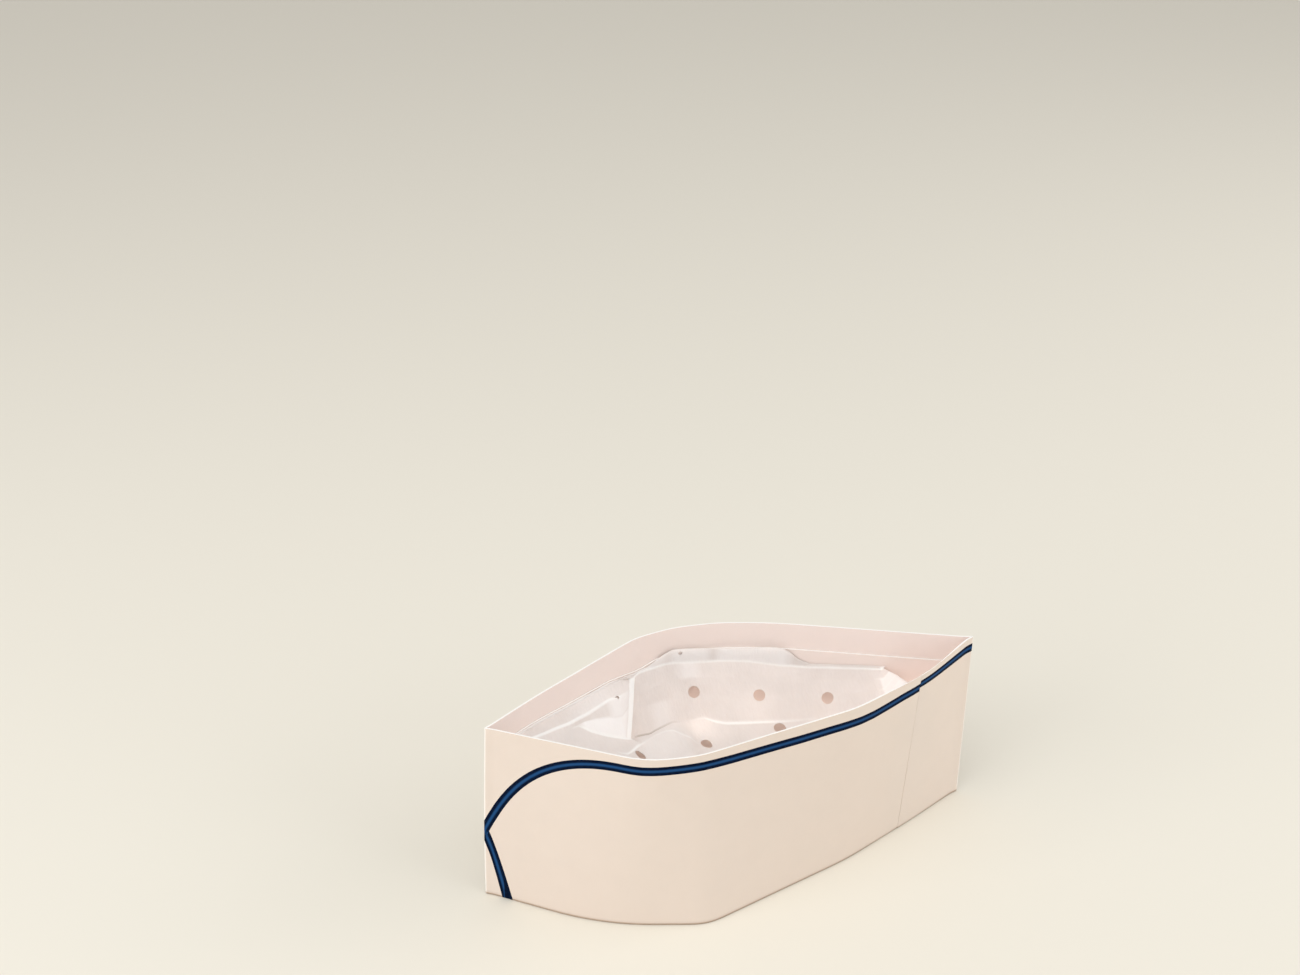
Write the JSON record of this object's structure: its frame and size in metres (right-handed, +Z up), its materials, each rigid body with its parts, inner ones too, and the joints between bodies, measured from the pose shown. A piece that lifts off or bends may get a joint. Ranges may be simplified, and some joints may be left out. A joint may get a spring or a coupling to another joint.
{
  "type": "paper soda jerk hat",
  "caption": "Pointed band hat of folded white paper with a printed stripe and a vented tissue crown that sags inside it, worn by food counter staff.",
  "frame": {"origin": "on the surface that the hem rests on, under the middle of the band", "axes": "+Z up towards the rim, +Y towards the back crease, +X towards the wearer's left"},
  "size_m": [0.1131, 0.266, 0.1],
  "materials": {
    "band_paper": "matt cream white paper with a narrow navy blue stripe printed on the outside",
    "crown_tissue": "thin, slightly see-through white crepe tissue with punched holes"
  },
  "bodies": {
    "root": {"side_band": "band_paper", "crown": "crown_tissue"}
  },
  "joints": []
}
